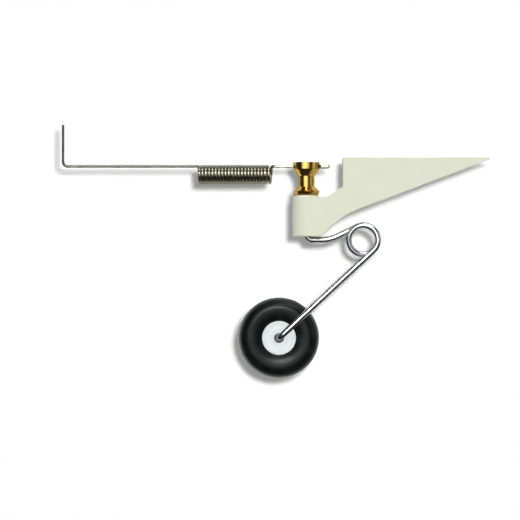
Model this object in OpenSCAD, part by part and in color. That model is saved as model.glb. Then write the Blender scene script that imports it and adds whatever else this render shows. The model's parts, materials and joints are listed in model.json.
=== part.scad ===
// Steerable tailwheel for a model aircraft.
// A moulded bracket screws under the fuselage and carries an upright pivot. The sprung strut
// turns in it, with the wheel at its foot and a turned steering hub at its head.
// A sprung tiller wire runs from the hub to the rudder.
// Millimetres, +Z up, +X towards the aircraft's nose. The origin is on the mounting face,
// midway between the two screws.

/* [Bracket] */
// Width across the flanks, which is also the barrel's diameter
bracket_w = 9; // [8:0.1:13]
// Length of the mounting face, rear edge to nose
foot_l = 47; // [40:0.5:70]
// Depth of the foot at its rear edge
foot_depth = 18.4; // [16:0.1:22]
// Thickness left at the foot's nose
nose_t = 0.4; // [0.3:0.1:1.5]
// Rounding of the nose's corners in plan view
nose_corner_r = 1.5; // [0.5:0.1:3.5]
// Height of the foot's upright rear face
rear_face_h = 9.2; // [6:0.1:11]
// Rear face of the foot back to the pivot axis
pivot_setback = 11.6; // [10.5:0.1:16]
// Mounting face down to the top of the barrel
barrel_drop = 12.5; // [12:0.1:16]
// Height of the barrel
barrel_h = 12.6; // [10:0.1:18]
// Radius of the hollow between the arm's and the foot's lower edges
arm_hollow_r = 22; // [8:0.5:26]
// Radius of the corner where the barrel's top runs into the arm
arm_crook_r = 4; // [2:0.1:5]
// Rounding of the moulded lower edges
edge_r = 0.6; // [0.3:0.1:1.2]

/* [Mounting screws] */
// Clearance hole for a mounting screw
screw_hole_d = 3; // [2:0.1:3.6]
// Pocket for a screw head
screw_head_d = 5.6; // [4.5:0.1:6.6]
// Nylon left under a screw head
screw_seat_t = 3.5; // [2:0.1:5]
// Distance between the two screws
screw_spacing = 18; // [14:0.5:22]
// Rear face of the foot to the rear screw
screw_inset = 8; // [5:0.1:10]

/* [Strut] */
// Diameter of the strut wire
strut_d = 1.98; // [1.5:0.01:2.4]
// Mean diameter of the spring loop
loop_d = 9.3; // [7:0.1:11]
// Pivot axis forward to the axis of the spring loop
loop_reach = 18.1; // [16:0.1:24]
// Slope of the wire as it rises into the loop, in degrees
loop_entry = 26; // [20:1:34]
// Bend radius under the barrel, at the wire's centre
post_bend_r = 2; // [1.6:0.1:3]
// Radius of the sweep from under the barrel up into the loop
sweep_r = 12; // [6:0.5:14]
// Slope of the leg in side view, in degrees
leg_slope = 42.8; // [36:0.2:60]
// Length of the leg in side view, from the loop to the axle
leg_reach = 41; // [38:0.1:60]
// How far the leg leans outwards on its way down past the tyre, in degrees
leg_splay = 3; // [1:1:3]
// Bend radius between the leg and the axle, at the wire's centre
axle_bend_r = 2.2; // [1.6:0.1:3]

/* [Wheel] */
// Diameter of the tyre
tyre_d = 25.7; // [22:0.1:32]
// Width of the tyre
tyre_w = 8; // [7:0.1:9]
// Diameter of the hub's outer flange
wheel_hub_d = 10.9; // [9:0.1:12]
// Width of the hub over its flanges
wheel_hub_w = 6.6; // [6:0.1:7]
// Diameter of the tyre's seat between the flanges
tyre_seat_d = 9.2; // [8:0.1:10]
// Thickness of a hub flange
hub_flange_t = 1; // [0.7:0.05:1.4]
// Depth of the dish in the hub's face
hub_dish = 0.4; // [0.2:0.05:0.8]
// Diameter of the hub's raised centre
hub_boss_d = 4.8; // [4.2:0.1:5.6]
// Outer diameter of the bush the axle runs in
axle_bush_d = 3.2; // [2.8:0.1:3.8]
// Thickness of the flange's lip that shows beside the tyre's bead
hub_lip = 0.35; // [0.2:0.05:0.5]
// Diameter of the collar that keeps the wheel on
collar_d = 5.6; // [4.8:0.1:7]
// Width of the collar
collar_w = 4; // [3:0.1:5]

/* [Steering hub] */
// Diameter of the hub's upper disc and of its base
hub_d = 8.5; // [7.5:0.1:9]
// Diameter of the hub's waist
waist_d = 5.1; // [4.6:0.1:6]
// Height of the upper disc
disc_h = 2.1; // [2:0.1:3.4]
// Height of the taper from the disc to the waist
upper_taper_h = 2.3; // [1:0.1:3]
// Height of the waist
waist_h = 3.4; // [2.6:0.1:4]
// Height of the taper from the waist to the base
lower_taper_h = 1.5; // [0.8:0.1:2]
// Height of the bevelled base
base_h = 1.3; // [0.8:0.1:2]
// How far the base's bevel comes in
base_bevel = 0.65; // [0.2:0.05:1]
// Top of the hub down to the tiller hole
tiller_hole_drop = 1.3; // [1:0.1:1.6]
// Thickness of the washer between the hub and the barrel
washer_t = 0.5; // [0.3:0.1:1]
// Diameter of the set screws
set_screw_d = 2.2; // [1.6:0.1:2.4]
// Length of the set screws
set_screw_l = 2.2; // [1.8:0.1:2.6]
// Outer diameter of the bush the pivot turns in
pivot_bush_d = 4; // [3.2:0.1:5]

/* [Tiller] */
// Diameter of the tiller wire
tiller_d = 0.79; // [0.6:0.01:0.9]
// Outside diameter of the tiller's spring
spring_od = 6; // [5:0.1:8]
// Turns of the tiller's spring
spring_turns = 22; // [14:1:28]
// Distance from one turn to the next
spring_pitch = 1.05; // [0.95:0.01:1.1]
// How much further off the last turn before the hub stands
end_turn_gap = 0.4; // [0:0.1:0.8]
// Pivot axis back to the near end of the spring
spring_setback = 10; // [9:0.1:14]
// Pivot axis back to the tiller's upturned end
tiller_reach = 77.9; // [60:0.1:100]
// Height of the upturned end above the rod
tiller_rise = 13.3; // [8:0.1:25]
// Bend radius of the tiller, at the wire's centre
tiller_bend_r = 1.5; // [1:0.1:3]
// Bend radius where the wire curls into and out of the spring
curl_r = 1.1; // [0.9:0.1:1.6]
// Length of the flattened end that stops the tiller pulling out
paddle_l = 3.1; // [1.5:0.1:3.4]
// Width of the flattened end
paddle_w = 1.45; // [1.2:0.05:1.8]
// Thickness of the flattened end
paddle_t = 0.4; // [0.3:0.05:0.6]

/* [Clearances] */
// Running clearance of a turning or sliding wire in its hole, on the radius
run_fit = 0.05; // [0.02:0.01:0.1]
// Clearance of a seated piece, on the radius
seat_fit = 0.01; // [0.005:0.005:0.03]
// End float of a turning piece between its stops
end_float = 0.15; // [0.1:0.01:0.4]

/* [Hidden] */
$fn = 64;
// Sides of a wound wire, and its rings in a turn of the tiller's spring or round the whole strut loop
spring_sides = 8;
spring_steps = 18;
loop_sides = 16;
loop_steps = 56;
// Degrees over which the strut loop's lead eases in and out
ease_in = 60;
ease_out = 90;
// Steps of the spring's curled ends, of other arcs and of a rounded edge
curl_steps = 5;
arc_steps = 12;
edge_steps = 4;
// How far a straight length laps into a bend, and how much fatter the bend is
bend_lap = 0.05;
bend_swell = 0.005;
// Socket of a set screw as a share of its size, and the broken edge of a hub flange
socket_share = 0.45;
tip_r = 0.12;

// Places along X, from the origin between the screws
rear_face_x = -(screw_inset + screw_spacing / 2);
pivot_x = rear_face_x - pivot_setback;

// Bracket, measured from the pivot axis
half_w = bracket_w / 2;
barrel_top = -barrel_drop;
barrel_bottom = barrel_top - barrel_h;
nose_reach = pivot_setback + foot_l;
foot_slope = atan((foot_depth - nose_t) / foot_l);
arm_slope = atan((-foot_depth - barrel_bottom) / (pivot_setback - half_w));
hollow_tangent = arm_hollow_r * tan((arm_slope - foot_slope) / 2);
slab_h = barrel_drop + barrel_h;
crook_reach = half_w + arm_crook_r / 2;
crook_slope = atan((-rear_face_h - barrel_top) / (pivot_setback - crook_reach));

// Strut, measured from the pivot axis
strut_r = strut_d / 2;
loop_r = loop_d / 2;
run_z = barrel_bottom - end_float - strut_r;
loop_c = [loop_reach, 0, run_z];
entry_angle = 90 + loop_entry;
entry_point = loop_c + loop_r * [cos(entry_angle), 0, sin(entry_angle)];
rise_l = loop_r * cos(loop_entry) / sin(loop_entry);
sweep_corner_x = entry_point.x - rise_l * cos(loop_entry);
sweep_tangent = sweep_r * tan(loop_entry / 2);
exit_angle = leg_slope - 90;
loop_sweep = 360 + entry_angle - exit_angle;
exit_point = loop_c + loop_r * [cos(exit_angle), 0, sin(exit_angle)];
axle_c = exit_point - leg_reach * [cos(leg_slope), 0, sin(leg_slope)];
bend_recess_r = post_bend_r + end_float;
bend_top = run_z + post_bend_r + end_float;

// Wheel, along its axle, with the near side positive
tyre_r = tyre_d / 2;
hub_half_w = wheel_hub_w / 2;
bush_half_l = hub_half_w + end_float;
leg_y = -(bush_half_l + end_float + axle_bend_r);
collar_y = bush_half_l + end_float;
axle_end_y = collar_y + collar_w + strut_r / 2;
exit_y = leg_y + leg_reach * tan(leg_splay);
loop_lead = (-exit_y / loop_r * 180 / PI - tan(leg_splay) * ease_out / 2)
  / (loop_sweep - ease_in / 2 - ease_out / 2);
axle_tangent = axle_bend_r * tan(45 + leg_splay / 2);
flange_inner = hub_half_w - hub_flange_t;
crown_r = (tyre_r + wheel_hub_d / 2) / 2;
bead_h = hub_half_w - hub_lip;

// Steering hub, measured from the pivot axis
hub_r = hub_d / 2;
waist_r = waist_d / 2;
hub_bottom = barrel_top + washer_t;
base_top = hub_bottom + base_h;
waist_bottom = base_top + lower_taper_h;
waist_top = waist_bottom + waist_h;
disc_bottom = waist_top + upper_taper_h;
hub_top = disc_bottom + disc_h;
tiller_z = hub_top - tiller_hole_drop;
tiller_hole_r = tiller_d / 2 + run_fit;
strut_top = tiller_z - tiller_hole_r - strut_r / 2;

// Tiller, measured from the pivot axis
spring_r = (spring_od - tiller_d) / 2;
helix_angle = atan(spring_pitch / (360 * spring_r * PI / 180));
curl_turn = 90 - helix_angle;
curl_run = curl_r * sin(curl_turn);
curl_angle = curl_r * (1 - cos(curl_turn)) / spring_r * 180 / PI;
helix_sweep = 360 * spring_turns - 2 * curl_angle;
helix_run = helix_sweep / 360 * spring_pitch;
spring_l = helix_run + end_turn_gap + 2 * curl_run;
spring_near_x = -spring_setback;
spring_far_x = spring_near_x - spring_l;
spring_axis_z = tiller_z - spring_r;
paddle_start = hub_r + end_float;

// Points of an arc in the plane, from one angle to another
function arc(c, r, from, to, steps = arc_steps) =
  [for (i = [0:steps])
    let (a = from + (to - from) * i / steps)
    c + r * [cos(a), sin(a)]];

module at_pivot() translate([pivot_x, 0, 0]) children();
module at_axle() at_pivot() translate(axle_c) rotate([90, 0, 0]) children();

// Wire bent as on a bending jig, from the origin along Z. Each step is [straight length,
// angle of the bend after it, radius of that bend, roll that turns the bend's side from +X].
// A bend is a hair fatter than the wire, so that the straight lengths end inside it.
module wire(steps, d, i = 0) if (i < len(steps)) {
  length = steps[i][0];
  angle = steps[i][1];
  radius = steps[i][2];
  start_lap = i > 0 ? bend_lap : 0;
  end_lap = angle > 0 ? bend_lap : 0;
  translate([0, 0, -start_lap]) cylinder(d = d, h = start_lap + length + end_lap);
  translate([0, 0, length]) rotate([0, 0, steps[i][3]]) {
    if (angle > 0) translate([radius, 0, 0]) rotate([90, 0, 180])
      rotate_extrude(angle = angle) translate([radius, 0]) circle(d = d + 2 * bend_swell);
    translate([radius, 0, 0]) rotate([0, angle, 0]) translate([-radius, 0, 0]) wire(steps, d, i + 1);
  }
}

// Wire wound on a cylinder about Z. Each station is [height, angle round the cylinder, slope of the wire].
module wound_wire(stations, r, d, sides) {
  rings = [for (s = stations)
    let (
      outward = [cos(s[1]), sin(s[1]), 0],
      around = [-sin(s[1]), cos(s[1]), 0],
      up = cos(s[2]) * [0, 0, 1] - sin(s[2]) * around
    )
    [for (j = [0:sides - 1])
      r * outward + [0, 0, s[0]] + d / 2 * (cos(360 * j / sides) * outward - sin(360 * j / sides) * up)]
  ];
  last = len(stations) - 1;
  walls = [for (i = [0:last - 1], j = [0:sides - 1])
    let (k = (j + 1) % sides)
    [i * sides + j, (i + 1) * sides + j, (i + 1) * sides + k, i * sides + k]];
  start_cap = [for (j = [0:sides - 1]) j];
  end_cap = [for (j = [sides - 1:-1:0]) last * sides + j];
  polyhedron(points = [for (ring = rings) each ring], faces = concat(walls, [start_cap, end_cap]));
}

// Points of the bracket's section, standing on its lower edge, with that edge's corners rounded
function slab_section() = concat(
  arc([edge_r - half_w, edge_r], edge_r, 180, 270, edge_steps),
  arc([half_w - edge_r, edge_r], edge_r, 270, 360, edge_steps),
  [[half_w, slab_h], [-half_w, slab_h]]
);

// Everything above the lower edges of the arm and the foot, and over the hollow that joins them
module slab() {
  foot_corner = [pivot_setback, -foot_depth];
  hollow_end = foot_corner + hollow_tangent * [cos(foot_slope), sin(foot_slope)];
  hollow_c = hollow_end + arm_hollow_r * [sin(foot_slope), -cos(foot_slope)];
  hollow_angle = arm_slope - foot_slope;
  translate([hollow_c.x, 0, hollow_c.y]) rotate([90, 0, 0]) rotate([0, 0, 90 + foot_slope]) {
    rotate_extrude(angle = hollow_angle)
      translate([arm_hollow_r - bend_swell, 0]) rotate(-90) polygon(slab_section());
    slab_run(-foot_l, bend_lap);
    rotate([0, 0, hollow_angle]) slab_run(-bend_lap, slab_h);
  }
}

// Straight stretch of the slab, which laps into the hollow at the end where it joins it
module slab_run(from, to)
  translate([arm_hollow_r, from, 0]) rotate([-90, -90, 0])
    linear_extrude(to - from) polygon(slab_section());

// Side view of what lies under the barrel's top, the arm's upper edge, the rear face and the mounting face
module upper_outline() {
  crook_tangent = arm_crook_r * tan(crook_slope / 2);
  crook_c = [crook_reach - crook_tangent, barrel_top + arm_crook_r];
  polygon(concat(
    [[0, barrel_bottom - slab_h], [0, barrel_top]],
    arc(crook_c, arm_crook_r, -90, crook_slope - 90),
    [[pivot_setback, -rear_face_h], [pivot_setback, 0]],
    [[nose_reach, 0], [nose_reach, barrel_bottom - slab_h]]
  ));
}

// Plan view of the arm and foot, with the nose's corners rounded
module plan_outline() polygon(concat(
  [[0, half_w], [0, -half_w]],
  arc([nose_reach - nose_corner_r, nose_corner_r - half_w], nose_corner_r, -90, 0, edge_steps),
  arc([nose_reach - nose_corner_r, half_w - nose_corner_r], nose_corner_r, 0, 90, edge_steps)
));

module barrel() rotate_extrude() polygon(concat(
  [[0, barrel_top], [0, barrel_bottom]],
  arc([half_w - edge_r, barrel_bottom + edge_r], edge_r, -90, 0, edge_steps),
  [[half_w, barrel_top]]
));

module screw_cut(x)
  translate([x, 0, 0]) {
    translate([0, 0, -foot_depth]) cylinder(d = screw_hole_d, h = foot_depth + nose_t);
    translate([0, 0, -foot_depth - screw_seat_t]) cylinder(d = screw_head_d, h = foot_depth);
  }

module bracket() color("beige") difference() {
  at_pivot() difference() {
    union() {
      barrel();
      intersection() {
        slab();
        translate([0, 0, barrel_bottom]) rotate([90, 0, 90])
          linear_extrude(nose_reach) polygon(slab_section());
        translate([0, half_w, 0]) rotate([90, 0, 0]) linear_extrude(bracket_w) upper_outline();
        translate([0, 0, barrel_bottom]) linear_extrude(slab_h) plan_outline();
      }
    }
    translate([0, 0, barrel_bottom - nose_t]) cylinder(d = pivot_bush_d, h = barrel_h + 2 * nose_t);
    translate([0, 0, barrel_bottom - nose_t])
      cylinder(r = bend_recess_r, h = bend_top - barrel_bottom + nose_t);
  }
  for (side = [-1, 1]) screw_cut(side * screw_spacing / 2);
}

module pivot_bush() color("goldenrod") at_pivot()
  translate([0, 0, bend_top]) difference() {
    cylinder(d = pivot_bush_d - 2 * seat_fit, h = barrel_top - bend_top);
    translate([0, 0, -washer_t]) cylinder(r = strut_r + run_fit, h = barrel_top - bend_top + 2 * washer_t);
  }

module thrust_washer() color("white") at_pivot()
  translate([0, 0, barrel_top]) difference() {
    cylinder(r = hub_r - base_bevel, h = washer_t);
    translate([0, 0, -washer_t]) cylinder(r = strut_r + run_fit, h = 3 * washer_t);
  }

module steering_hub() color("darkgoldenrod") at_pivot() difference() {
  rotate_extrude() polygon([
    [0, hub_bottom], [hub_r - base_bevel, hub_bottom], [hub_r, base_top], [waist_r, waist_bottom],
    [waist_r, waist_top], [hub_r, disc_bottom], [hub_r, hub_top], [0, hub_top]
  ]);
  translate([0, 0, hub_bottom - washer_t])
    cylinder(r = strut_r + seat_fit, h = strut_top + seat_fit - hub_bottom + washer_t);
  translate([-hub_d, 0, tiller_z]) rotate([0, 90, 0]) cylinder(r = tiller_hole_r, h = 2 * hub_d);
  translate([0, 0, (waist_bottom + waist_top) / 2]) rotate([-90, 0, 0]) cylinder(d = set_screw_d, h = hub_d);
}

// Headless screw along Z, its point at the origin and a hexagon socket in its outer end
module set_screw() difference() {
  cylinder(d = set_screw_d - 2 * seat_fit, h = set_screw_l);
  translate([0, 0, set_screw_l * (1 - socket_share)])
    cylinder(d = set_screw_d * socket_share, h = set_screw_l, $fn = 6);
}

module hub_set_screw() color("dimgray") at_pivot()
  translate([0, strut_r + seat_fit, (waist_bottom + waist_top) / 2]) rotate([-90, 0, 0]) set_screw();

module strut_post() color("silver") at_pivot() translate([0, 0, strut_top]) rotate([180, 0, 0]) wire([
  [strut_top - run_z - post_bend_r, 90, post_bend_r, 0],
  [sweep_corner_x - post_bend_r - sweep_tangent, loop_entry, sweep_r, 0],
  [rise_l - sweep_tangent, 0, 0, 0]
], strut_d);

// Lead of the loop as it winds outwards, at an angle on from where the wire enters it:
// it eases in from none, holds, and eases out to the leg's splay
function lead_at(a) =
  loop_lead * min(a / ease_in, 1)
  + (tan(leg_splay) - loop_lead) * max(a + ease_out - loop_sweep, 0) / ease_out;

// How far out the loop has wound by that angle, which is the lead added up along the wire
function wound_out(a) =
  let (
    into = min(a, ease_in),
    out = max(a + ease_out - loop_sweep, 0)
  )
  loop_r * PI / 180 * (
    loop_lead * (into * into / (2 * ease_in) + a - into)
    + (tan(leg_splay) - loop_lead) * out * out / (2 * ease_out)
  );

module strut_loop() color("silver") at_pivot() translate(loop_c) rotate([90, 0, 0])
  wound_wire([for (i = [0:loop_steps])
    let (a = loop_sweep * (1 - i / loop_steps))
    [wound_out(a), entry_angle - a, -atan(lead_at(a))]
  ], loop_r, strut_d, loop_sides);

module strut_leg() color("silver") at_pivot() translate([exit_point.x, exit_y, exit_point.z])
  rotate([0, -90 - leg_slope, 0]) rotate([leg_splay, 0, 0]) wire([
    [leg_reach / cos(leg_splay) - axle_tangent, 90 + leg_splay, axle_bend_r, 90],
    [axle_end_y - leg_y - axle_tangent, 0, 0, 0]
  ], strut_d);

module axle_collar() color("silver") at_axle() translate([0, 0, -collar_y - collar_w]) difference() {
  cylinder(d = collar_d, h = collar_w);
  translate([0, 0, -collar_w]) cylinder(r = strut_r + seat_fit, h = 3 * collar_w);
  translate([0, 0, collar_w / 2]) rotate([-90, 0, 0]) cylinder(d = set_screw_d, h = collar_d);
}

module collar_set_screw() color("dimgray") at_axle()
  translate([0, strut_r + seat_fit, -collar_y - collar_w / 2]) rotate([-90, 0, 0]) set_screw();

// One side of the tyre's section, from the rib under the hub's flange over the sidewall
// to the middle of the tread
function tyre_side() =
  let (
    seat = tyre_seat_d / 2 + seat_fit,
    bead = wheel_hub_d / 2 + seat_fit,
    rise = tyre_w / 2 - bead_h,
    reach = crown_r - bead,
    wall_r = (reach * reach + rise * rise) / (2 * rise)
  )
  concat(
    [[seat, flange_inner - seat_fit], [bead, flange_inner - seat_fit]],
    arc([crown_r, tyre_w / 2 - wall_r], wall_r, 90 + asin(reach / wall_r), 90, arc_steps / 2),
    [for (i = [1:arc_steps]) [
      crown_r + (tyre_r - crown_r) * sin(90 * i / arc_steps),
      tyre_w / 2 * cos(90 * i / arc_steps)
    ]]
  );

module tyre() color("#242526") at_axle() rotate_extrude() polygon(concat(
  tyre_side(),
  [for (i = [len(tyre_side()) - 2:-1:0]) [tyre_side()[i].x, -tyre_side()[i].y]]
));

// Half of the hub, standing on the plane where the two halves meet
module hub_half() rotate_extrude() polygon([
  [axle_bush_d / 2 + seat_fit, 0],
  [tyre_seat_d / 2, 0],
  [tyre_seat_d / 2, flange_inner],
  [wheel_hub_d / 2, flange_inner],
  [wheel_hub_d / 2, hub_half_w - tip_r],
  [wheel_hub_d / 2 - tip_r, hub_half_w],
  [tyre_seat_d / 2, hub_half_w],
  [tyre_seat_d / 2 - hub_dish, hub_half_w - hub_dish],
  [hub_boss_d / 2 + hub_dish, hub_half_w - hub_dish],
  [hub_boss_d / 2, hub_half_w],
  [axle_bush_d / 2 + seat_fit, hub_half_w]
]);

module hub_near_half() color("whitesmoke") at_axle() hub_half();
module hub_far_half() color("whitesmoke") at_axle() mirror([0, 0, 1]) hub_half();

module axle_bush() color("gray") at_axle() translate([0, 0, -bush_half_l]) difference() {
  cylinder(d = axle_bush_d, h = 2 * bush_half_l);
  translate([0, 0, -end_float]) cylinder(r = strut_r + run_fit, h = 2 * (bush_half_l + end_float));
}

// Wire through the hub, with its end beaten flat so that it can't pull back through
module tiller_shank() color("silver") at_pivot() translate([0, 0, tiller_z]) {
  translate([spring_near_x, 0, 0]) rotate([0, 90, 0])
    cylinder(d = tiller_d, h = paddle_start - spring_near_x);
  translate([paddle_start, paddle_t / 2, 0]) rotate([90, 0, 0]) linear_extrude(paddle_t) {
    translate([0, -paddle_w / 2]) square([paddle_l - paddle_w / 2, paddle_w]);
    translate([paddle_l - paddle_w / 2, 0]) circle(d = paddle_w);
  }
}

// Close right-hand coil that starts and ends along its own top, curling in and out of the winding
module tiller_spring() color("silver") at_pivot()
  translate([spring_far_x, 0, spring_axis_z]) rotate([0, 90, 0]) rotate([0, 0, 90]) {
    winding_steps = spring_turns * spring_steps;
    curl_in = [for (i = [0:curl_steps])
      let (turn = curl_turn * i / curl_steps)
      [curl_r * sin(turn), curl_r * (1 - cos(turn)) / spring_r * 180 / PI, 90 - turn]];
    winding = [for (i = [1:winding_steps - 1])
      let (
        t = i / winding_steps,
        last_turn = max(0, 1 - (1 - t) * spring_turns)
      )
      [curl_run + helix_run * t + end_turn_gap * last_turn, curl_angle + helix_sweep * t, helix_angle]];
    curl_out = [for (i = [curl_steps:-1:0])
      [spring_l - curl_in[i][0], 360 * spring_turns - curl_in[i][1], curl_in[i][2]]];
    rotate([0, 0, 90]) wound_wire(concat(curl_in, winding, curl_out), spring_r, tiller_d, spring_sides);
  }

module tiller_rod() color("silver") at_pivot()
  translate([spring_far_x, 0, tiller_z]) rotate([0, -90, 0]) wire([
    [tiller_reach + spring_far_x - tiller_bend_r, 90, tiller_bend_r, 0],
    [tiller_rise - tiller_bend_r, 0, 0, 0]
  ], tiller_d);

bracket();
pivot_bush();
thrust_washer();
steering_hub();
hub_set_screw();
strut_post();
strut_loop();
strut_leg();
axle_collar();
collar_set_screw();
tyre();
hub_near_half();
hub_far_half();
axle_bush();
tiller_shank();
tiller_spring();
tiller_rod();
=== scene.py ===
"""Finished looks of a steerable tailwheel for a model aircraft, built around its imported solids.

A cream nylon bracket carries a turned brass steering hub. A sprung wire strut with one loop
hangs from it and ends in the axle of a rubber-tyred wheel. A thinner sprung wire, the tiller,
runs back from the hub. Lengths are in metres, +Z is up and +X points to the aircraft's nose.
"""

import json
import logging
import math
from dataclasses import dataclass
from enum import Enum

import bmesh
import bpy
import numpy as np
from mathutils import Color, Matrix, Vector

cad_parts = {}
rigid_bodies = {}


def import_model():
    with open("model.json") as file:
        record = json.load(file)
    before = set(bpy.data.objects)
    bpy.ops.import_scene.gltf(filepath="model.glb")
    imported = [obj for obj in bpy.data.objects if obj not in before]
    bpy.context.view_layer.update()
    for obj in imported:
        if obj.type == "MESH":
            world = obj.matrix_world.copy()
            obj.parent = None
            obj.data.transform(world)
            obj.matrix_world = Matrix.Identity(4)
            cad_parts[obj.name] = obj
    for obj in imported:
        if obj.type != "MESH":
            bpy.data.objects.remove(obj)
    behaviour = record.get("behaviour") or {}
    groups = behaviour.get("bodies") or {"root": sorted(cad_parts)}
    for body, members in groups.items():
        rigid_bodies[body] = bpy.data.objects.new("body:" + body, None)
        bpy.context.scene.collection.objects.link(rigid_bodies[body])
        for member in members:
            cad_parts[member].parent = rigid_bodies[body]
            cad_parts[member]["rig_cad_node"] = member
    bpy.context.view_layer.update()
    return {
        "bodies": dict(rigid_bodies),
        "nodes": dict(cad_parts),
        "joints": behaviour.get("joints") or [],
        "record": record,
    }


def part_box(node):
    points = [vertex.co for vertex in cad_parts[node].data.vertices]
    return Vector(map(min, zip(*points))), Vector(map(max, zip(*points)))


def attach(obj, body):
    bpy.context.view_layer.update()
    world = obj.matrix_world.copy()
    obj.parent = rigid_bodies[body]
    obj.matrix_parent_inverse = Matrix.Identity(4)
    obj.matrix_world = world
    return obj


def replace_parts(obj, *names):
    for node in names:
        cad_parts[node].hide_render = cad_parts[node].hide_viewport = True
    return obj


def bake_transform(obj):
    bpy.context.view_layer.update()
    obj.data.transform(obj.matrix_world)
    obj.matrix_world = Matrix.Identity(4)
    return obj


LOG = logging.getLogger("tailwheel")
MM = 0.001
SHARP_ANGLE = math.radians(40)
# Angle that Blender's wave texture turns through in a unit of length, at a scale of one
WAVE_RADIANS = 20

Array = np.ndarray
Span = tuple[float, float]
Triple = tuple[float, float, float]
Colour = Triple
Piece = bpy.types.Object
Material = bpy.types.Material
Socket = bpy.types.NodeSocket

X_AXIS = np.array([1.0, 0.0, 0.0])
Y_AXIS = np.array([0.0, 1.0, 0.0])
Z_AXIS = np.array([0.0, 0.0, 1.0])


class Body(Enum):
    """Moving bodies that the pieces ride on."""

    BRACKET = "bracket"
    SWIVEL = "swivel"
    STRUT_ARM = "strut_arm"
    WHEEL = "wheel"
    TILLER = "tiller"
    TILLER_ARM = "tiller_arm"


class Slot(Enum):
    """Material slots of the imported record."""

    BRACKET = "bracket_nylon"
    BUSH = "bush_brass"
    WASHER = "washer_nylon"
    HUB = "hub_brass"
    SCREW = "screw_steel"
    STRUT = "strut_wire"
    COLLAR = "collar_nickel"
    TYRE = "tyre_rubber"
    WHEEL = "wheel_nylon"
    TILLER = "tiller_wire"


class Side(Enum):
    """Side of the wheel, as the way its axle points there along Y."""

    NEAR = -1.0
    FAR = 1.0


class Use(Enum):
    """What a lamp lights: only gloss, as a bright card does, or only matt surfaces."""

    GLOSS = "gloss"
    MATT = "matt"


class Grain(Enum):
    """Axis that a turned piece's tool marks run round."""

    UPRIGHT = "Z"
    AXLE = "Y"


def seen_colour(red: int, green: int, blue: int) -> Colour:
    """Turns a colour as a screen shows it into the linear light that a shader takes.

    Args:
        red: Red from 0 to 255.
        green: Green from 0 to 255.
        blue: Blue from 0 to 255.

    Returns:
        The three linear values from 0 to 1.
    """
    full = 255
    shown = Color((red / full, green / full, blue / full))
    return tuple(shown.from_srgb_to_scene_linear())


def unit(vectors: Array) -> Array:
    """Vectors brought to a length of one."""
    return vectors / np.linalg.norm(vectors, axis=-1, keepdims=True)


def smooth_step(values: Array, low: float, high: float) -> Array:
    """Eased rise from 0 at low to 1 at high, 3t^2 - 2t^3 in between."""
    t = np.clip((values - low) / (high - low), 0, 1)
    return t * t * (3 - 2 * t)


def put_in_scene(name: str, data: bpy.types.ID) -> Piece:
    """Puts a mesh, a lamp or a camera in the scene.

    Args:
        name: Name of the new object.
        data: What the object shows.

    Returns:
        The new object, at the origin.
    """
    added = bpy.data.objects.new(name, data)
    bpy.context.scene.collection.objects.link(added)
    return added


def lay_grid(name: str, points: Array, closed_along: bool = False) -> Piece:
    """Makes a closed piece from a surface that is a function of two parameters on a grid.

    Point (i, j) lies at step i along the surface and step j round it, and each face joins four
    neighbours. The steps round always close. Where the steps along don't, each end is closed by
    a fan from the middle of its ring. The UV map holds the share of the way round, and the
    distance along the surface in millimetres.

    Args:
        name: Name of the new piece.
        points: Array of shape (steps along, steps round, 3), in metres.
        closed_along: Whether the last step along joins the first.

    Returns:
        The new object, at the origin, with smooth faces that point outwards and crisp cut ends.
    """
    along, around = points.shape[:2]
    rows = np.arange(along if closed_along else along - 1)[:, None]
    cols = np.arange(around)[None, :]
    next_rows = (rows + 1) % along
    next_cols = (cols + 1) % around
    corners = [(rows, cols), (rows, next_cols), (next_rows, next_cols), (next_rows, cols)]
    quads = np.stack([np.broadcast_to(i * around + j, (len(rows), around)) for i, j in corners], -1)

    middles = points.mean(axis=1)
    steps = np.linalg.norm(np.diff(np.concatenate([middles, middles[:1]]), axis=0), axis=1)
    travel = np.concatenate([[0], np.cumsum(steps)]) / MM
    shares = np.stack([cols, cols + 1, cols + 1, cols], -1) / around
    lengths = np.stack([travel[rows], travel[rows], travel[rows + 1], travel[rows + 1]], -1)
    grid_shape = (len(rows), around, 4)
    uv = np.stack([np.broadcast_to(shares, grid_shape), np.broadcast_to(lengths, grid_shape)], -1)

    vertices = points.reshape(-1, 3)
    faces = quads.reshape(-1, 4).tolist()
    uv_rows = [uv.reshape(-1, 2)]
    if not closed_along:
        ring = np.arange(around)
        after = (ring + 1) % around
        first, last = along * around, along * around + 1
        vertices = np.concatenate([vertices, points[[0, -1]].mean(axis=1)])
        start_fan = np.stack([np.full(around, first), after, ring], -1)
        last_ring = (along - 1) * around
        end_fan = np.stack([np.full(around, last), last_ring + ring, last_ring + after], -1)
        faces += start_fan.tolist() + end_fan.tolist()
        uv_rows += [np.zeros((3 * around, 2)), np.full((3 * around, 2), travel[along - 1])]

    mesh = bpy.data.meshes.new(name)
    mesh.from_pydata(vertices.tolist(), [], faces)
    layer = mesh.uv_layers.new(name="UVMap")
    layer.data.foreach_set("uv", np.concatenate(uv_rows).astype(np.float32).ravel())
    mesh.shade_smooth()
    mesh.set_sharp_from_angle(angle=SHARP_ANGLE)
    return put_in_scene(name, mesh)


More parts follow.
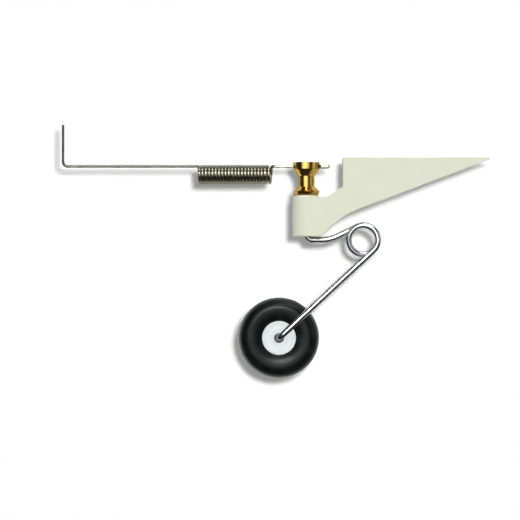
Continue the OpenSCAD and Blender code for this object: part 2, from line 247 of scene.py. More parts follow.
def round_corners(corners: Array, radii: Array, steps: int) -> Array:
    """Outline of a polygon with each corner turned into an arc.

    An arc of radius r in a corner of half angle h is centred r / sin(h) along the corner's
    bisector, and touches both edges r / tan(h) from the corner. Its points turn evenly about
    that centre from the one touching point to the other.

    Args:
        corners: Array of shape (corners, 2), in order round the outline.
        radii: Radius of each corner.
        steps: Steps in each arc.

    Returns:
        The outline's points, as an array of shape (points, 2).
    """
    back = unit(np.roll(corners, 1, axis=0) - corners)
    ahead = unit(np.roll(corners, -1, axis=0) - corners)
    half = np.arccos(np.clip((back * ahead).sum(axis=1), -1, 1))[:, None] / 2
    centre = corners + unit(back + ahead) * radii[:, None] / np.sin(half)
    reach = radii[:, None] / np.tan(half)
    start = corners + back * reach - centre
    end = corners + ahead * reach - centre
    sweep = (math.pi - 2 * half)[:, None, :]
    t = np.linspace(0, 1, steps + 1)[None, :, None]
    turned = np.sin((1 - t) * sweep) * start[:, None, :] + np.sin(t * sweep) * end[:, None, :]
    return (centre[:, None, :] + turned / np.sin(sweep)).reshape(-1, 2)


def revolve(name: str, profile: Array, centre: Array, axis: Array, steps: int) -> Piece:
    """Makes a ring by turning a closed profile about an axis.

    A profile point (r, h) at angle a goes to centre + h * axis + r * (cos a * u + sin a * v),
    where u and v are square to the axis. The profile runs anticlockwise with r to the right
    and h up, so that the faces point outwards.

    Args:
        name: Name of the new piece.
        profile: Array of shape (points, 2) of radius and height.
        centre: Point on the axis that heights are measured from.
        axis: Direction of the axis, of length one.
        steps: Steps round the axis.

    Returns:
        The new object.
    """
    angles = np.linspace(0, 2 * math.pi, steps, endpoint=False)
    side = unit(np.cross(axis, X_AXIS))
    across = np.cross(axis, side)
    spokes = np.cos(angles)[:, None] * side + np.sin(angles)[:, None] * across
    radius, height = profile[:, 0, None, None], profile[:, 1, None, None]
    return lay_grid(name, centre + height * axis + radius * spokes[None], closed_along=True)


@dataclass(frozen=True)
class Stations:
    """Places along a wire: its centre line, its direction and the side its rings start from."""

    centre: Array
    ahead: Array
    side: Array

    def end(self) -> tuple[Array, Array]:
        """Last point of the centre line, and the direction there."""
        return self.centre[-1], self.ahead[-1]

    def then(self, other: "Stations") -> "Stations":
        """These places and another run's, less the point that both hold."""
        return Stations(
            np.concatenate([self.centre, other.centre[1:]]),
            np.concatenate([self.ahead, other.ahead[1:]]),
            np.concatenate([self.side, other.side[1:]]),
        )


@dataclass(frozen=True)
class Jig:
    """Bends a wire in a plane, as straight lengths and arcs, with its rings starting square to it."""

    square: Array
    straight_steps: int = 6
    bend_step: float = math.radians(3)

    def sided(self, centre: Array, ahead: Array) -> Stations:
        """Stations whose rings start in the plane of the bends, square to the wire."""
        return Stations(centre, ahead, unit(np.cross(ahead, self.square)))

    def straight(self, start: Array, ahead: Array, length: float) -> Stations:
        """Straight length, start + s * ahead for s from 0 to the length.

        Args:
            start: First point.
            ahead: Direction, of length one.
            length: How far it runs.

        Returns:
            The stations along it.
        """
        along = np.linspace(0, length, self.straight_steps + 1)[:, None]
        return self.sided(start + along * ahead, np.repeat(ahead[None], len(along), axis=0))

    def bend(self, start: Array, ahead: Array, towards: Array, radius: float, angle: float) -> Stations:
        """Arc that turns from one direction towards another, square to it.

        At angle a the wire is at start + radius * (sin a * ahead + (1 - cos a) * towards) and
        points along cos a * ahead + sin a * towards.

        Args:
            start: First point.
            ahead: Direction at the start, of length one.
            towards: Direction of the arc's centre, of length one.
            radius: Radius of the wire's centre line.
            angle: Angle of the bend, in radians.

        Returns:
            The stations along it.
        """
        a = np.linspace(0, angle, math.ceil(angle / self.bend_step) + 1)[:, None]
        centre = start + radius * (np.sin(a) * ahead + (1 - np.cos(a)) * towards)
        return self.sided(centre, np.cos(a) * ahead + np.sin(a) * towards)


def sweep_wire(name: str, run: Stations, wide: Array, thick: Array, sides: int) -> Piece:
    """Makes a wire by carrying an oval section along its stations.

    At angle a the section's point is centre + wide * cos a * side + thick * sin a * across,
    where across is square to both the wire and its side.

    Args:
        name: Name of the new piece.
        run: Stations along the wire.
        wide: Half width of the section along each station's side.
        thick: Half width of the section across it.
        sides: Points in a section.

    Returns:
        The new object.
    """
    angles = np.linspace(0, 2 * math.pi, sides, endpoint=False)[None, :, None]
    across = np.cross(run.ahead, run.side)
    reach = wide[:, None, None] * np.cos(angles) * run.side[:, None, :]
    rise = thick[:, None, None] * np.sin(angles) * across[:, None, :]
    return lay_grid(name, run.centre[:, None, :] + reach + rise)


def soften_copy(name: str, node: Piece, edge: float, steps: int) -> Piece:
    """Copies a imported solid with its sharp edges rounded, as moulding or tumbling leaves them.

    The copy's loose triangles are merged, flat ones joined into whole faces, and a bevel goes
    round each edge that is sharper than a curved face's own facets.

    Args:
        name: Name of the new piece.
        node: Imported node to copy.
        edge: Width of the rounding.
        steps: Steps in the rounding.

    Returns:
        The new object.
    """
    merge_distance = 0.001 * MM
    flat_angle, facet_angle = math.radians(0.3), math.radians(32)
    shape = bmesh.new()
    shape.from_mesh(node.data)
    bmesh.ops.remove_doubles(shape, verts=shape.verts, dist=merge_distance)
    bmesh.ops.dissolve_limit(shape, angle_limit=flat_angle, verts=shape.verts, edges=shape.edges)
    mesh = bpy.data.meshes.new(name)
    shape.to_mesh(mesh)
    shape.free()
    mesh.shade_smooth()
    piece = put_in_scene(name, mesh)
    bevel = piece.modifiers.new("rounded_edges", "BEVEL")
    bevel.width = edge
    bevel.segments = steps
    bevel.limit_method = "ANGLE"
    bevel.angle_limit = facet_angle
    bevel.miter_outer = "MITER_ARC"
    even_shading(piece)
    return piece


def even_shading(piece: Piece) -> None:
    """Lets a piece's large faces set the shading of their own edges."""
    piece.modifiers.new("even_shading", "WEIGHTED_NORMAL").mode = "FACE_AREA"


class Recipe:
    """One material's nodes, with short calls that add them and join them up."""

    def __init__(self, name: str) -> None:
        """Starts a material that has only its shader.

        Args:
            name: Name of the material.
        """
        self.material = bpy.data.materials.new(name)
        self.material.use_nodes = True
        self.tree = self.material.node_tree
        self.shader = self.tree.nodes["Principled BSDF"]

    def add(self, kind: str, **inputs: object) -> bpy.types.Node:
        """Adds a node and fills its inputs.

        Args:
            kind: Blender's name for the kind of node.
            **inputs: Values or sockets by input name, with _ for a space.

        Returns:
            The new node.
        """
        node = self.tree.nodes.new(kind)
        self.fill(node, **inputs)
        return node

    def fill(self, node: bpy.types.Node, **inputs: object) -> None:
        """Fills a node's inputs, by a link where the value is a socket.

        Args:
            node: Node to fill.
            **inputs: Values or sockets by input name, with _ for a space.
        """
        for name, value in inputs.items():
            socket = node.inputs[name.replace("_", " ")]
            if isinstance(value, Socket):
                self.tree.links.new(value, socket)
            else:
                socket.default_value = value

    def place(self, stretch: Triple = (1, 1, 1), on_surface: bool = False) -> Socket:
        """Coordinates that a pattern lies on.

        Args:
            stretch: How much finer the pattern is along each axis.
            on_surface: Whether it follows the piece's own UV map, not its place in space.

        Returns:
            The coordinates' socket.
        """
        source = self.add("ShaderNodeTexCoord").outputs["UV" if on_surface else "Object"]
        return self.add("ShaderNodeMapping", Vector=source, Scale=stretch).outputs["Vector"]

    def noise(self, size: float, place: Socket, detail: float = 3) -> Socket:
        """Cloudy noise.

        Args:
            size: Size of its clouds, in the coordinates' own units.
            place: Coordinates that it lies on.
            detail: How many finer layers it has.

        Returns:
            The noise's value, from 0 to 1.
        """
        clouds = self.add("ShaderNodeTexNoise", Vector=place, Scale=1 / size, Detail=detail)
        return clouds.outputs["Fac"]

    def between(
        self, value: Socket, low: float, high: float, from_low: float = 0.3, from_high: float = 0.7
    ) -> Socket:
        """Spreads a value's middle over a new range.

        Args:
            value: Socket to spread.
            low: What the range starts at.
            high: What the range ends at.
            from_low: Value that becomes low.
            from_high: Value that becomes high.

        Returns:
            The spread value's socket.
        """
        ranged = self.add("ShaderNodeMapRange", Value=value)
        self.fill(ranged, From_Min=from_low, From_Max=from_high, To_Min=low, To_Max=high)
        return ranged.outputs["Result"]

    def shades(self, value: Socket, *stops: tuple[float, Colour]) -> Socket:
        """Colours by a value.

        Args:
            value: Socket that picks the colour.
            *stops: Values with the colour that each has.

        Returns:
            The colour's socket.
        """
        ramp = self.add("ShaderNodeValToRGB", Fac=value)
        elements = ramp.color_ramp.elements
        for index, (at, colour) in enumerate(stops):
            element = elements[index] if index < len(elements) else elements.new(at)
            element.position = at
            element.color = (*colour, 1)
        return ramp.outputs["Color"]

    def relief(self, height: Socket, depth: float, strength: float) -> Socket:
        """Fine relief on a surface.

        Args:
            height: Socket of the relief's height, from 0 to 1.
            depth: Depth of the relief, in metres.
            strength: How much of it shows.

        Returns:
            The surface's new direction.
        """
        bump = self.add("ShaderNodeBump", Height=height, Distance=depth, Strength=strength)
        return bump.outputs["Normal"]


def larger(tree: bpy.types.NodeTree, one: Socket, other: Socket) -> Socket:
    """Adds a node that takes the larger of two values.

    Args:
        tree: Node tree to add it to.
        one: Socket of the first value.
        other: Socket of the second value.

    Returns:
        The larger value's socket.
    """
    node = tree.nodes.new("ShaderNodeMath")
    node.operation = "MAXIMUM"
    tree.links.new(one, node.inputs[0])
    tree.links.new(other, node.inputs[1])
    return node.outputs["Value"]


def scaled(colour: Colour, share: float) -> Colour:
    """A colour made darker or lighter by a share."""
    return tuple(min(1.0, value * share) for value in colour)


def grey(level: float) -> tuple[float, float, float, float]:
    """A grey from 0 to 1, as a shader's socket takes it."""
    return (level, level, level, 1.0)


@dataclass(frozen=True)
class MouldedNylon:
    """Satin nylon with faint flow marks, a fine moulded grain and a little depth under its skin."""

    name: str
    colour: Colour
    variation: float = 0.015
    gloss: Span = (0.6, 0.68)
    flow_size: float = 5 * MM
    flow_stretch: Triple = (1, 1, 2)
    flow_stops: Triple = (0.3, 0.55, 0.75)
    grain_size: float = 0.16 * MM
    grain_depth: float = 0.02 * MM
    grain_share: float = 0.25
    refraction: float = 1.53
    shine: float = 0.35
    depth_share: float = 0.06
    depth_tint: Colour = (1.0, 0.9, 0.6)
    depth_reach: float = 0.6 * MM

    def make(self) -> Material:
        """Builds the material.

        Returns:
            The new material.
        """
        recipe = Recipe(self.name)
        flow = recipe.noise(self.flow_size, recipe.place(self.flow_stretch))
        grain = recipe.noise(self.grain_size, recipe.place(), detail=2)
        darker = scaled(self.colour, 1 - self.variation)
        lighter = scaled(self.colour, 1 + self.variation / 2)
        recipe.fill(
            recipe.shader,
            Base_Color=recipe.shades(flow, *zip(self.flow_stops, (darker, self.colour, lighter))),
            Roughness=recipe.between(flow, *self.gloss),
            Normal=recipe.relief(grain, self.grain_depth, self.grain_share),
            IOR=self.refraction,
            Specular_IOR_Level=self.shine,
            Subsurface_Weight=self.depth_share,
            Subsurface_Radius=self.depth_tint,
            Subsurface_Scale=self.depth_reach,
        )
        return recipe.material


@dataclass(frozen=True)
class TurnedMetal:
    """Metal off a lathe: fine rings from the tool, polished over, with a little tarnish.

    A dark tint on its reflection darkens its rims, where it is seen at a slant: painted shade.
    """

    name: str
    colour: Colour
    tarnish: Colour
    grain: Grain
    gloss: Span = (0.14, 0.3)
    # Tint of the reflection where it is seen at a slant: painted shade on the rims
    rim: float = 0.25
    mark_spacing: float = 0.14 * MM
    mark_depth: float = 0.012 * MM
    mark_share: float = 0.3
    mark_wander: float = 1.5
    wander_detail: float = 3.0
    wander_scale: float = 0.4
    cloud_size: float = 1.2 * MM
    cloud_stops: Span = (0.32, 0.58)
    smear_size: float = 0.35 * MM

    def make(self) -> Material:
        """Builds the material.

        Returns:
            The new material.
        """
        recipe = Recipe(self.name)
        place = recipe.place()
        marks = recipe.add(
            "ShaderNodeTexWave",
            Vector=place,
            Scale=2 * math.pi / (WAVE_RADIANS * self.mark_spacing),
            Distortion=self.mark_wander,
            Detail=self.wander_detail,
            Detail_Scale=self.wander_scale,
        )
        marks.wave_type = "BANDS"
        marks.bands_direction = self.grain.value
        clouds = recipe.noise(self.cloud_size, place)
        smears = recipe.noise(self.smear_size, place, detail=4)
        recipe.fill(
            recipe.shader,
            Base_Color=recipe.shades(clouds, *zip(self.cloud_stops, (self.tarnish, self.colour))),
            Metallic=1.0,
            # Painted shade: a dark tint on the reflection at the rims
            Specular_Tint=grey(self.rim),
            Roughness=recipe.between(smears, *self.gloss),
            Normal=recipe.relief(marks.outputs["Fac"], self.mark_depth, self.mark_share),
        )
        return recipe.material


@dataclass(frozen=True)
class DrawnWire:
    """Bright spring wire with streaks from the drawing die along its length.

    The streaks spread its highlights across the wire; a dark tint on its reflection paints shade on
    its rims, where it is seen at a slant. Their length is in millimetres, as the wire's UV map is.
    """

    name: str
    colour: Colour
    dull: Colour
    gloss: Span = (0.2, 0.24)
    spread: float = 0.0
    # Tint of the reflection where it is seen at a slant: painted shade on the rims
    rim: float = 0.06
    streaks_round: float = 28
    streak_length: float = 9
    streak_depth: float = 0.004 * MM
    streak_share: float = 0.2
    speck_size: float = 0.6 * MM
    speck_stops: Span = (0.3, 0.55)

    def make(self) -> Material:
        """Builds the material.

        Returns:
            The new material.
        """
        recipe = Recipe(self.name)
        along = recipe.place((self.streaks_round, 1 / self.streak_length, 1), on_surface=True)
        streaks = recipe.noise(1, along, detail=2)
        specks = recipe.noise(self.speck_size, recipe.place(), detail=4)
        round_wire = recipe.add("ShaderNodeTangent")
        round_wire.direction_type = "UV_MAP"
        recipe.fill(
            recipe.shader,
            Base_Color=recipe.shades(specks, *zip(self.speck_stops, (self.dull, self.colour))),
            Metallic=1.0,
            # Painted shade: a dark tint on the reflection at the rims
            Specular_Tint=grey(self.rim),
            Roughness=recipe.between(streaks, *self.gloss),
            Anisotropic=self.spread,
            Tangent=round_wire.outputs["Tangent"],
            Normal=recipe.relief(streaks, self.streak_depth, self.streak_share),
        )
        return recipe.material


@dataclass(frozen=True)
class MouldedRubber:
    """Black rubber with a fine skin from the mould and a faint, paler bloom."""

    name: str
    colour: Colour
    bloom: Colour
    gloss: Span = (0.3, 0.38)
    bloom_size: float = 3 * MM
    bloom_stops: Span = (0.4, 0.72)
    pore_size: float = 0.12 * MM
    pore_depth: float = 0.02 * MM
    pore_share: float = 0.3
    refraction: float = 1.52
    shine: float = 0.2

    def make(self) -> Material:
        """Builds the material.

        Returns:
            The new material.
        """
        recipe = Recipe(self.name)
        place = recipe.place()
        clouds = recipe.noise(self.bloom_size, place, detail=4)
        pores = recipe.noise(self.pore_size, place, detail=2)
        recipe.fill(
            recipe.shader,
            Base_Color=recipe.shades(clouds, *zip(self.bloom_stops, (self.colour, self.bloom))),
            Roughness=recipe.between(clouds, *self.gloss),
            Normal=recipe.relief(pores, self.pore_depth, self.pore_share),
            IOR=self.refraction,
            Specular_IOR_Level=self.shine,
        )
        return recipe.material


@dataclass(frozen=True)
class PlatedMetal:
    """Plated or blackened steel, a little uneven, with fine scuffs."""

    name: str
    colour: Colour
    worn: Colour
    gloss: Span = (0.22, 0.4)
    scuff_size: float = 0.4 * MM
    scuff_stops: Span = (0.45, 0.72)
    pit_size: float = 0.08 * MM
    pit_depth: float = 0.01 * MM
    pit_share: float = 0.2

    def make(self) -> Material:
        """Builds the material.

        Returns:
            The new material.
        """
        recipe = Recipe(self.name)
        place = recipe.place()
        scuffs = recipe.noise(self.scuff_size, place, detail=5)
        pits = recipe.noise(self.pit_size, place, detail=2)
        recipe.fill(
            recipe.shader,
            Base_Color=recipe.shades(scuffs, *zip(self.scuff_stops, (self.colour, self.worn))),
            Metallic=1.0,
            Roughness=recipe.between(scuffs, *self.gloss),
            Normal=recipe.relief(pits, self.pit_depth, self.pit_share),
        )
        return recipe.material


CREAM_NYLON = MouldedNylon("cream_nylon", seen_colour(221, 224, 203))
WHITE_NYLON = MouldedNylon("white_nylon", seen_colour(228, 234, 234))
WASHER_NYLON = MouldedNylon("washer_nylon", seen_colour(240, 240, 234))
HUB_BRASS = TurnedMetal(
    "hub_brass", seen_colour(226, 188, 104), seen_colour(206, 164, 84), Grain.UPRIGHT, (0.1, 0.2)
)
BUSH_BRASS = TurnedMetal(
    "bush_brass", seen_colour(206, 166, 96), seen_colour(150, 112, 58), Grain.UPRIGHT
)
BUSH_STEEL = TurnedMetal(
    "bush_steel", seen_colour(112, 114, 114), seen_colour(78, 80, 80), Grain.AXLE, (0.42, 0.55)
)
STRUT_WIRE = DrawnWire("strut_wire", seen_colour(208, 209, 212), seen_colour(194, 194, 197))
TILLER_WIRE = DrawnWire(
    "tiller_wire", seen_colour(180, 178, 157), seen_colour(150, 148, 127), (0.22, 0.28), spread=0.7
)
# The rod is the same wire as the coil, in a darker copy of the tiller wire's finish: painted shade
ROD_WIRE_PAINTED_SHADE = DrawnWire("rod_wire", seen_colour(105, 104, 96), seen_colour(81, 80, 73), (0.3, 0.36))
TYRE_RUBBER = MouldedRubber("tyre_rubber", seen_colour(8, 14, 11), seen_colour(18, 26, 22))
COLLAR_NICKEL = PlatedMetal("collar_nickel", seen_colour(206, 202, 193), seen_colour(194, 189, 179))
SCREW_BLACK = PlatedMetal("screw_black", seen_colour(46, 46, 49), seen_colour(92, 90, 88))


@dataclass(frozen=True)
class Places:
    """Where the joints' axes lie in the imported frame, in metres."""

    pivot_x: float
    loop: Array
    axle: Array

    @classmethod
    def read(cls, frame: dict) -> "Places":
        """Reads the joints' places.


        Returns:
            The places.
        """
        joints = {joint["name"]: joint for joint in frame["joints"]}
        names = ("swivel_turn", "strut_flex", "wheel_spin")
        pivot, loop, axle = (np.array(joints[name]["pos_m"], float) for name in names)
        return cls(pivot[0], loop, axle)


class Assembly:
    """What every sub-assembly shares: dressing its pieces and setting them on their bodies."""

    @staticmethod
    def dress(piece: Piece, finish: Material, slot: Slot) -> None:
        """Gives a piece its only material.

        Args:
            piece: Piece to dress.
            finish: Its material.
            slot: The record's slot that its finish stands for; not used.
        """
        piece.data.materials.clear()
        piece.data.materials.append(finish)
        LOG.info("%s: %d faces, %s", piece.name, len(piece.data.polygons), finish.name)

    @staticmethod
    def seat(piece: Piece, body: Body, node: str) -> None:
        """Sets a piece on a body, in place of the node that it stands for.

        Args:
            piece: Piece to seat.
            body: Body that it rides on.
            node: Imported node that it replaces.
        """
        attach(piece, body.value)
        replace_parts(piece, node)


@dataclass
class BracketUnit(Assembly):
    """Moulded bracket with its pivot bush and the washer under the steering hub."""

    nodes: dict
    edge: float = 0.4 * MM
    washer_edge: float = 0.12 * MM
    edge_steps: int = 3

    def build(self) -> None:
        """Builds and dresses the bracket's pieces."""
        body = soften_copy("bracket_moulding", self.nodes["bracket"], self.edge, self.edge_steps)
        self.seat(body, Body.BRACKET, "bracket")
        self.dress(body, CREAM_NYLON.make(), Slot.BRACKET)
        washer = soften_copy("washer_ring", self.nodes["thrust_washer"], self.washer_edge, self.edge_steps)
        self.seat(washer, Body.BRACKET, "thrust_washer")
        self.dress(washer, WASHER_NYLON.make(), Slot.WASHER)
        self.dress(self.nodes["pivot_bush"], BUSH_BRASS.make(), Slot.BUSH)


@dataclass
class SteeringHub(Assembly):
    """Turned brass hub on the strut's head, with its set screw."""

    nodes: dict
    edge: float = 0.14 * MM
    edge_steps: int = 2

    def build(self) -> None:
        """Builds and dresses the hub and its screw."""
        spool = soften_copy("hub_spool", self.nodes["steering_hub"], self.edge, self.edge_steps)
        self.seat(spool, Body.SWIVEL, "steering_hub")
        self.dress(spool, HUB_BRASS.make(), Slot.HUB)
        self.dress(self.nodes["hub_set_screw"], SCREW_BLACK.make(), Slot.SCREW)


@dataclass
class Strut(Assembly):
    """Sprung wire from the hub down to the axle, wound once round its loop, with the axle collar."""

    nodes: dict
    places: Places
    wire_d: float = 1.98 * MM
    loop_d: float = 9.3 * MM
    loop_entry: float = math.radians(26)
    post_bend_r: float = 2 * MM
    sweep_r: float = 12 * MM
    leg_slope: float = math.radians(42.8)
    leg_splay: float = math.radians(3)
    axle_bend_r: float = 2.2 * MM
    bend_gap: float = 0.15 * MM
    ease_in: float = math.radians(60)
    ease_out: float = math.radians(90)
    end_chamfer: float = 0.25 * MM
    collar_edge: float = 0.22 * MM
    collar_edge_steps: int = 3
    loop_step: float = math.radians(3)
    sides: int = 32

    def post(self) -> Stations:
        """Centre line of the wire from inside the hub, under the barrel and up into the loop.

        Returns:
            Its stations, from the hub to the loop.
        """
        jig = Jig(Y_AXIS)
        loop_r = self.loop_d / 2
        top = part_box("strut_post")[1].z
        run_z = self.places.loop[2]
        rise = loop_r / math.tan(self.loop_entry)
        tangent = self.sweep_r * math.tan(self.loop_entry / 2)
        entry_x = self.places.loop[0] - loop_r * math.sin(self.loop_entry)
        corner_x = entry_x - rise * math.cos(self.loop_entry)
        start = np.array([self.places.pivot_x, 0, top])
        run = jig.straight(start, -Z_AXIS, top - run_z - self.post_bend_r)
        run = run.then(jig.bend(*run.end(), X_AXIS, self.post_bend_r, math.pi / 2))
        level = corner_x - tangent - run.end()[0][0]
        run = run.then(jig.straight(*run.end(), level))
        run = run.then(jig.bend(*run.end(), Z_AXIS, self.sweep_r, self.loop_entry))
        return run.then(jig.straight(*run.end(), rise - tangent))

    def leg_outset(self) -> float:
        """How far the leg's line stands out from the wheel's middle where it meets the axle's line."""
        return -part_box("axle_bush")[0].y + self.bend_gap + self.axle_bend_r

    def loop_exit(self) -> Array:
        """Direction from the loop's axis to where the leg leaves it."""
        return np.array([math.sin(self.leg_slope), 0, -math.cos(self.leg_slope)])

    def leg_drop(self) -> float:
        """Length of the leg in side view, from the loop to the axle."""
        exit_xz = self.places.loop + self.loop_exit() * self.loop_d / 2
        return float(np.linalg.norm((self.places.axle - exit_xz)[[0, 2]]))

    def loop(self) -> Stations:
        """Centre line of the loop.

        It turns clockwise as seen from the near side. At angle a on from where it starts it has
        wound out towards the near side by the lead added up along it, and the lead eases in
        from none, holds, and eases out to the leg's splay.

        Returns:
            Its stations, from the post to the leg.
        """
        loop_r = self.loop_d / 2
        entry = math.pi / 2 + self.loop_entry
        sweep = 2 * math.pi + entry - (self.leg_slope - math.pi / 2)
        splay = math.tan(self.leg_splay)
        outset = self.leg_outset() - self.leg_drop() * splay
        eased = (self.ease_in + self.ease_out) / 2
        lead = (outset / loop_r - splay * self.ease_out / 2) / (sweep - eased)
        a = np.linspace(0, sweep, math.ceil(sweep / self.loop_step) + 1)
        into = np.minimum(a, self.ease_in)
        out = np.maximum(a + self.ease_out - sweep, 0)
        held = into * into / (2 * self.ease_in) + a - into
        wound = loop_r * (lead * held + (splay - lead) * out * out / (2 * self.ease_out))
        slope = lead * into / self.ease_in + (splay - lead) * out / self.ease_out
        turn = entry - a
        outward = np.stack([np.cos(turn), np.zeros_like(a), np.sin(turn)], -1)
        around = np.stack([np.sin(turn), -slope, -np.cos(turn)], -1)
        centre = self.places.loop + loop_r * outward - wound[:, None] * Y_AXIS
        return Stations(centre, unit(around), outward)

    def leg(self, start: Array, ahead: Array) -> Stations:
        """Centre line of the leg and the axle.

        Args:
            start: Where the leg leaves the loop.
            ahead: Direction of the leg.

        Returns:
            Its stations, from the loop to the axle's end.
        """
        jig = Jig(np.cross(ahead, self.loop_exit()))
        angle = math.pi / 2 + self.leg_splay
        tangent = self.axle_bend_r * math.tan(angle / 2)
        length = self.leg_drop() / math.cos(self.leg_splay)
        towards = unit(Y_AXIS - (Y_AXIS @ ahead) * ahead)
        run = jig.straight(start, ahead, length - tangent)
        run = run.then(jig.bend(*run.end(), towards, self.axle_bend_r, angle))
        axle_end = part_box("strut_leg")[1].y
        run = run.then(jig.straight(*run.end(), axle_end - self.end_chamfer - run.end()[0][1]))
        tip = Stations(
            np.stack([run.end()[0], run.end()[0] + self.end_chamfer * Y_AXIS]),
            np.stack([Y_AXIS, Y_AXIS]),
            np.stack([self.loop_exit(), self.loop_exit()]),
        )
        run = Stations(run.centre, run.ahead, np.repeat(self.loop_exit()[None], len(run.centre), axis=0))
        return run.then(tip)

    def build(self) -> None:
        """Builds and dresses the strut's three stretches and the collar."""
        wire_r = self.wire_d / 2
        finish = STRUT_WIRE.make()
        loop = self.loop()
        stretches = {
            "strut_head_wire": self.post(),
            "strut_spring_loop": loop,
            "strut_leg_wire": self.leg(*loop.end()),
        }
        pieces = {}
        for name, run in stretches.items():
            radius = np.full(len(run.centre), wire_r)
            if name == "strut_leg_wire":
                radius[-1] -= self.end_chamfer
            pieces[name] = sweep_wire(name, run, radius, radius, self.sides)
            self.dress(pieces[name], finish, Slot.STRUT)
        self.seat(pieces["strut_head_wire"], Body.SWIVEL, "strut_post")
        self.seat(pieces["strut_leg_wire"], Body.STRUT_ARM, "strut_leg")
        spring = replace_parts(pieces["strut_spring_loop"], "strut_loop")
        wind_end = self.places.loop + (loop.end()[0][1] + wire_r) * Y_AXIS
        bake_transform(spring)

        node = self.nodes["axle_collar"]
        collar = soften_copy("collar_ring", node, self.collar_edge, self.collar_edge_steps)
        self.seat(collar, Body.STRUT_ARM, "axle_collar")
        self.dress(collar, COLLAR_NICKEL.make(), Slot.COLLAR)
        self.dress(self.nodes["collar_set_screw"], SCREW_BLACK.make(), Slot.SCREW)


@dataclass
class Wheel(Assembly):
    """Rubber tyre on a split nylon hub, with the bush that runs on the axle."""

    places: Places
    tyre_d: float = 25.7 * MM
    tyre_w: float = 8 * MM
    hub_d: float = 10.9 * MM
    hub_w: float = 6.6 * MM
    seat_d: float = 9.2 * MM
    flange_t: float = 1 * MM
    lip: float = 0.35 * MM
    dish: float = 0.4 * MM
    boss_d: float = 4.8 * MM
    bush_d: float = 3.2 * MM
    bush_bore_d: float = 2.08 * MM
    fit: float = 0.01 * MM
    seam_h: float = 0.07 * MM
    seam_w: float = 0.11 * MM
    shoulder_d: float = 22.8 * MM
    shoulder_dip: float = 0.07 * MM
    shoulder_w: float = 0.22 * MM
    mould_edge: float = 0.03 * MM
    lip_round: float = 0.45 * MM
    dish_round: float = 0.8 * MM
    bush_edge: float = 0.1 * MM
    wall_steps: int = 16
    tread_steps: int = 72
    hub_edge_steps: int = 5
    bush_edge_steps: int = 3
    steps: int = 160

    def tyre_profile(self) -> Array:
        """Section of the tyre.

        A sidewall is an arc that rises from the bead and is level at the crown. From there the
        tread is a quarter of an ellipse to the tyre's middle, and the other side mirrors it.
        A fine seam stands on the middle of the tread, and a shallow dip rings each shoulder,
        each a bell curve e^(-(d/w)^2) of the distance d from its line.

        Returns:
            Its points, radius and height along the axle, anticlockwise.
        """
        inner = self.hub_w / 2 - self.flange_t - self.fit
        bead = self.hub_d / 2 + self.fit
        bead_h = self.hub_w / 2 - self.lip
        tyre_r = self.tyre_d / 2 - self.seam_h
        crown = (self.tyre_d + self.hub_d) / 4
        half_w = self.tyre_w / 2
        rise, reach = half_w - bead_h, crown - bead
        wall_r = (reach * reach + rise * rise) / (2 * rise)
        wall_x = np.linspace(bead, crown, self.wall_steps)[:-1]
        wall = np.stack([wall_x, half_w - wall_r + np.sqrt(wall_r**2 - (crown - wall_x) ** 2)], -1)
        a = np.linspace(0, math.pi / 2, self.tread_steps)
        tread = np.stack([crown + (tyre_r - crown) * np.sin(a), half_w * np.cos(a)], -1)
        away = (tread[:, 0] - self.shoulder_d / 2) / self.shoulder_w
        tread[:, 1] -= self.shoulder_dip * np.exp(-(away**2))
        tread[:, 0] += self.seam_h * np.exp(-((tread[:, 1] / self.seam_w) ** 2))
        foot = np.array([[self.seat_d / 2 + self.fit, inner], [bead, inner]])
        side = np.concatenate([foot, wall, tread])
        lower = side * np.array([1, -1])
        return np.concatenate([lower[:-1], side[::-1]])

    def hub_profile(self) -> Array:
        """Section of a hub half, standing on the plane where the halves meet.

        Its flange has a rounded lip, and the dish in its face blends into the lip and into the
        raised middle round the bush.

        Returns:
            Its points, radius and height, anticlockwise.
        """
        face = self.hub_w / 2
        inner = face - self.flange_t
        bore, seat, rim, boss = (d / 2 for d in (self.bush_d, self.seat_d, self.hub_d, self.boss_d))
        bore += self.fit
        sharp, soft, fair = self.mould_edge, self.lip_round, self.dish_round
        corners = np.array([
            [bore, 0], [seat, 0], [seat, inner], [rim, inner], [rim, face], [seat, face],
            [seat - self.dish, face - self.dish], [boss + self.dish, face - self.dish],
            [boss, face], [bore, face],
        ])
        radii = np.array([sharp, sharp, sharp, sharp, soft, soft, fair, fair, soft, sharp])
        return round_corners(corners, radii, self.hub_edge_steps)

    def bush_profile(self, half_l: float) -> Array:
        """Section of the bush, a plain tube with broken edges.

        Args:
            half_l: Half its length.

        Returns:
            Its points, radius and height, anticlockwise.
        """
        bore, rim = self.bush_bore_d / 2, self.bush_d / 2
        corners = np.array([[bore, -half_l], [rim, -half_l], [rim, half_l], [bore, half_l]])
        radii = np.full(len(corners), self.bush_edge)
        return round_corners(corners, radii, self.bush_edge_steps)

    def build(self) -> None:
        """Builds and dresses the wheel's pieces."""
        tyre = revolve("tyre_ring", self.tyre_profile(), self.places.axle, Y_AXIS, self.steps)
        self.seat(tyre, Body.WHEEL, "tyre")
        self.dress(tyre, TYRE_RUBBER.make(), Slot.TYRE)
        white = WHITE_NYLON.make()
        for side, node in ((Side.NEAR, "hub_near_half"), (Side.FAR, "hub_far_half")):
            name = node.replace("half", "disc")
            disc = revolve(name, self.hub_profile(), self.places.axle, side.value * Y_AXIS, self.steps)
            even_shading(disc)
            self.seat(disc, Body.WHEEL, node)
            self.dress(disc, white, Slot.WHEEL)
        half_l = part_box("axle_bush")[1].y
        bush = revolve("axle_sleeve", self.bush_profile(half_l), self.places.axle, Y_AXIS, self.steps)
        even_shading(bush)
        self.seat(bush, Body.WHEEL, "axle_bush")
        self.dress(bush, BUSH_STEEL.make(), Slot.COLLAR)


